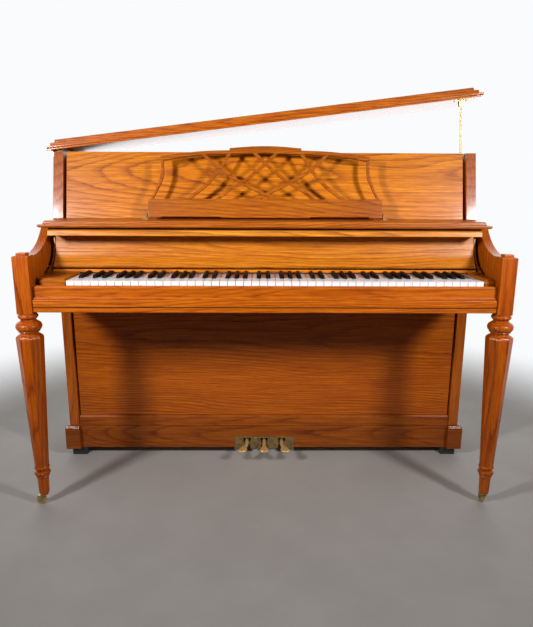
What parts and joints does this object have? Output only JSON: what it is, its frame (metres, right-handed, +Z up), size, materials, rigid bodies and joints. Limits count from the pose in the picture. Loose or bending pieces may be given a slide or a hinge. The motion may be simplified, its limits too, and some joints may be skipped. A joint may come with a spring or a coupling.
{
  "type": "upright piano",
  "caption": "Console upright piano with turned front legs on casters, a propped lid, a fretwork music desk, a folding fallboard, weighted keys and working pedals.",
  "frame": {"origin": "floor level, at the centre of the overall width and depth", "axes": "+X to the player's right along the keyboard, +Y from the player towards the back of the case, +Z up"},
  "size_m": [1.472, 0.6467, 1.3107],
  "materials": {
    "oak": "satin varnish over stained oak",
    "spruce": "bare softwood",
    "beech": "bare hardwood",
    "plate_gold": "gold paint",
    "steel": "bright drawn wire",
    "black_paint": "matt black",
    "brass": "aged, lacquered",
    "key_white": "polished",
    "key_black": "satin",
    "felt": "pressed wool felt"
  },
  "bodies": {
    "case": {"left_side": "oak", "right_side": "oak", "back_frame": "spruce", "soundboard": "spruce", "bridges": "beech", "iron_plate": "plate_gold", "strings_and_pins": "steel", "bottom_board": "beech", "lower_panel": "oak", "lower_rail": "oak", "kick_rail": "oak", "plinth_blocks": "oak", "base_feet": "black_paint", "upper_panel": "oak", "shelf": "oak", "keybed": "oak", "key_slip": "oak", "key_blocks": "oak", "cheek_arms": "oak", "left_leg": "oak", "right_leg": "oak", "nameboard_strip": "oak", "key_frame": "spruce", "action_frame": "beech", "pedal_plate": "brass", "desk_brackets": "brass", "side_hinges": "brass", "prop_guide": "brass"},
    "lid": {"lid": "oak", "lid_hardware": "brass"},
    "lid_prop": {"lid_prop": "brass"},
    "fallboard": {"fallboard": "oak", "fallboard_arms": "brass"},
    "fallboard_leaf": {"fallboard_leaf": "oak"},
    "music_desk": {"music_desk": "oak"},
    "left_pedal": {"left_pedal": "brass"},
    "middle_pedal": {"middle_pedal": "brass"},
    "right_pedal": {"right_pedal": "brass"},
    "left_pedal_rod": {"left_pedal_rod": "beech"},
    "middle_pedal_rod": {"middle_pedal_rod": "beech"},
    "right_pedal_rod": {"right_pedal_rod": "beech"},
    "hammers": {"hammers": "felt"},
    "dampers": {"dampers": "felt"},
    "muffler_rail": {"muffler_rail": "felt"},
    "left_caster": {"left_caster_fork": "brass"},
    "right_caster": {"right_caster_fork": "brass"},
    "left_wheel": {"left_caster_wheel": "brass"},
    "right_wheel": {"right_caster_wheel": "brass"},
    "keys_c": {"keys_c": "key_white"},
    "keys_c_sharp": {"keys_c_sharp": "key_black"},
    "keys_d": {"keys_d": "key_white"},
    "keys_d_sharp": {"keys_d_sharp": "key_black"},
    "keys_e": {"keys_e": "key_white"},
    "keys_f": {"keys_f": "key_white"},
    "keys_f_sharp": {"keys_f_sharp": "key_black"},
    "keys_g": {"keys_g": "key_white"},
    "keys_g_sharp": {"keys_g_sharp": "key_black"},
    "keys_a": {"keys_a": "key_white"},
    "keys_a_sharp": {"keys_a_sharp": "key_black"},
    "keys_b": {"keys_b": "key_white"}
  },
  "joints": [
    {"name": "lid_hinge", "type": "hinge", "parent": "case", "child": "lid", "pos_m": [-0.7245, 0, 1.097], "axis": [0, 1, 0], "range_deg": [0, 7.06]},
    {"name": "prop_pin", "type": "hinge", "parent": "lid", "child": "lid_prop", "pos_m": [0.66636, 0.11835, 1.26119], "axis": [0, 1, 0], "range_deg": [-3.5, 0]},
    {"name": "fallboard_hinge", "type": "hinge", "parent": "case", "child": "fallboard", "pos_m": [0, -0.11365, 0.733], "axis": [1, 0, 0], "range_deg": [0, 107.2]},
    {"name": "leaf_hinge", "type": "hinge", "parent": "fallboard", "child": "fallboard_leaf", "pos_m": [0, -0.08265, 0.834], "axis": [1, 0, 0], "range_deg": [-101.8, 0]},
    {"name": "music_desk_hinge", "type": "hinge", "parent": "case", "child": "music_desk", "pos_m": [0, -0.01225, 0.89126], "axis": [1, 0, 0], "range_deg": [0, 100]},
    {"name": "left_pedal_hinge", "type": "hinge", "parent": "case", "child": "left_pedal", "pos_m": [-0.065, 0.09335, 0.06], "axis": [1, 0, 0], "range_deg": [0, 6], "stiffness_Nm_per_rad": 10, "springref_deg": -14.32},
    {"name": "left_rod_slide", "type": "slide", "parent": "case", "child": "left_pedal_rod", "axis": [0, 0, 1], "range_m": [0, 0.006]},
    {"name": "middle_pedal_hinge", "type": "hinge", "parent": "case", "child": "middle_pedal", "pos_m": [-0.001, 0.09335, 0.06], "axis": [1, 0, 0], "range_deg": [0, 6], "stiffness_Nm_per_rad": 10, "springref_deg": -14.32},
    {"name": "middle_rod_slide", "type": "slide", "parent": "case", "child": "middle_pedal_rod", "axis": [0, 0, 1], "range_m": [0, 0.006]},
    {"name": "right_pedal_hinge", "type": "hinge", "parent": "case", "child": "right_pedal", "pos_m": [0.064, 0.09335, 0.06], "axis": [1, 0, 0], "range_deg": [0, 6], "stiffness_Nm_per_rad": 10, "springref_deg": -14.32},
    {"name": "right_rod_slide", "type": "slide", "parent": "case", "child": "right_pedal_rod", "axis": [0, 0, 1], "range_m": [0, 0.006]},
    {"name": "hammer_shift", "type": "hinge", "parent": "case", "child": "hammers", "pos_m": [0, 0.09035, 0.845], "axis": [-1, 0, 0], "range_deg": [0, 6], "stiffness_Nm_per_rad": 8, "springref_deg": -17.19},
    {"name": "damper_slide", "type": "slide", "parent": "case", "child": "dampers", "axis": [0, -1, 0], "range_m": [0, 0.0055], "stiffness_N_per_m": 400, "springref_m": -0.01},
    {"name": "muffler_slide", "type": "slide", "parent": "case", "child": "muffler_rail", "axis": [0, 0, -1], "range_m": [0, 0.021], "stiffness_N_per_m": 300, "springref_m": -0.02},
    {"name": "key_press_c", "type": "hinge", "parent": "case", "child": "keys_c", "pos_m": [0, -0.06165, 0.697], "axis": [1, 0, 0], "range_deg": [0, 2.7], "stiffness_Nm_per_rad": 5, "springref_deg": -14.32},
    {"name": "key_press_c_sharp", "type": "hinge", "parent": "case", "child": "keys_c_sharp", "pos_m": [0, -0.06165, 0.697], "axis": [1, 0, 0], "range_deg": [0, 2.7], "stiffness_Nm_per_rad": 5, "springref_deg": -14.32},
    {"name": "key_press_d", "type": "hinge", "parent": "case", "child": "keys_d", "pos_m": [0, -0.06165, 0.697], "axis": [1, 0, 0], "range_deg": [0, 2.7], "stiffness_Nm_per_rad": 5, "springref_deg": -14.32},
    {"name": "key_press_d_sharp", "type": "hinge", "parent": "case", "child": "keys_d_sharp", "pos_m": [0, -0.06165, 0.697], "axis": [1, 0, 0], "range_deg": [0, 2.7], "stiffness_Nm_per_rad": 5, "springref_deg": -14.32},
    {"name": "key_press_e", "type": "hinge", "parent": "case", "child": "keys_e", "pos_m": [0, -0.06165, 0.697], "axis": [1, 0, 0], "range_deg": [0, 2.7], "stiffness_Nm_per_rad": 5, "springref_deg": -14.32},
    {"name": "key_press_f", "type": "hinge", "parent": "case", "child": "keys_f", "pos_m": [0, -0.06165, 0.697], "axis": [1, 0, 0], "range_deg": [0, 2.7], "stiffness_Nm_per_rad": 5, "springref_deg": -14.32},
    {"name": "key_press_f_sharp", "type": "hinge", "parent": "case", "child": "keys_f_sharp", "pos_m": [0, -0.06165, 0.697], "axis": [1, 0, 0], "range_deg": [0, 2.7], "stiffness_Nm_per_rad": 5, "springref_deg": -14.32},
    {"name": "key_press_g", "type": "hinge", "parent": "case", "child": "keys_g", "pos_m": [0, -0.06165, 0.697], "axis": [1, 0, 0], "range_deg": [0, 2.7], "stiffness_Nm_per_rad": 5, "springref_deg": -14.32},
    {"name": "key_press_g_sharp", "type": "hinge", "parent": "case", "child": "keys_g_sharp", "pos_m": [0, -0.06165, 0.697], "axis": [1, 0, 0], "range_deg": [0, 2.7], "stiffness_Nm_per_rad": 5, "springref_deg": -14.32},
    {"name": "key_press_a", "type": "hinge", "parent": "case", "child": "keys_a", "pos_m": [0, -0.06165, 0.697], "axis": [1, 0, 0], "range_deg": [0, 2.7], "stiffness_Nm_per_rad": 5, "springref_deg": -14.32},
    {"name": "key_press_a_sharp", "type": "hinge", "parent": "case", "child": "keys_a_sharp", "pos_m": [0, -0.06165, 0.697], "axis": [1, 0, 0], "range_deg": [0, 2.7], "stiffness_Nm_per_rad": 5, "springref_deg": -14.32},
    {"name": "key_press_b", "type": "hinge", "parent": "case", "child": "keys_b", "pos_m": [0, -0.06165, 0.697], "axis": [1, 0, 0], "range_deg": [0, 2.7], "stiffness_Nm_per_rad": 5, "springref_deg": -14.32},
    {"name": "left_caster_swivel", "type": "hinge", "parent": "case", "child": "left_caster", "pos_m": [-0.6975, -0.28615, 0.03], "axis": [0, 0, 1], "continuous": true},
    {"name": "right_caster_swivel", "type": "hinge", "parent": "case", "child": "right_caster", "pos_m": [0.6975, -0.28615, 0.03], "axis": [0, 0, 1], "continuous": true},
    {"name": "left_wheel_roll", "type": "hinge", "parent": "left_caster", "child": "left_wheel", "pos_m": [-0.7085, -0.28615, 0.015], "axis": [0, 1, 0], "continuous": true},
    {"name": "right_wheel_roll", "type": "hinge", "parent": "right_caster", "child": "right_wheel", "pos_m": [0.6975, -0.27515, 0.015], "axis": [1, 0, 0], "continuous": true}
  ],
  "couplings": [
    {"joint": "prop_pin", "follows": "lid_hinge", "ratio": -0.476},
    {"joint": "leaf_hinge", "follows": "fallboard_hinge", "ratio": -0.949},
    {"joint": "left_rod_slide", "follows": "left_pedal_hinge", "m_per_rad": 0.055},
    {"joint": "middle_rod_slide", "follows": "middle_pedal_hinge", "m_per_rad": 0.055},
    {"joint": "right_rod_slide", "follows": "right_pedal_hinge", "m_per_rad": 0.055},
    {"joint": "hammer_shift", "follows": "left_pedal_hinge", "ratio": 1},
    {"joint": "damper_slide", "follows": "right_pedal_hinge", "m_per_rad": 0.05},
    {"joint": "muffler_slide", "follows": "middle_pedal_hinge", "m_per_rad": 0.2}
  ]
}
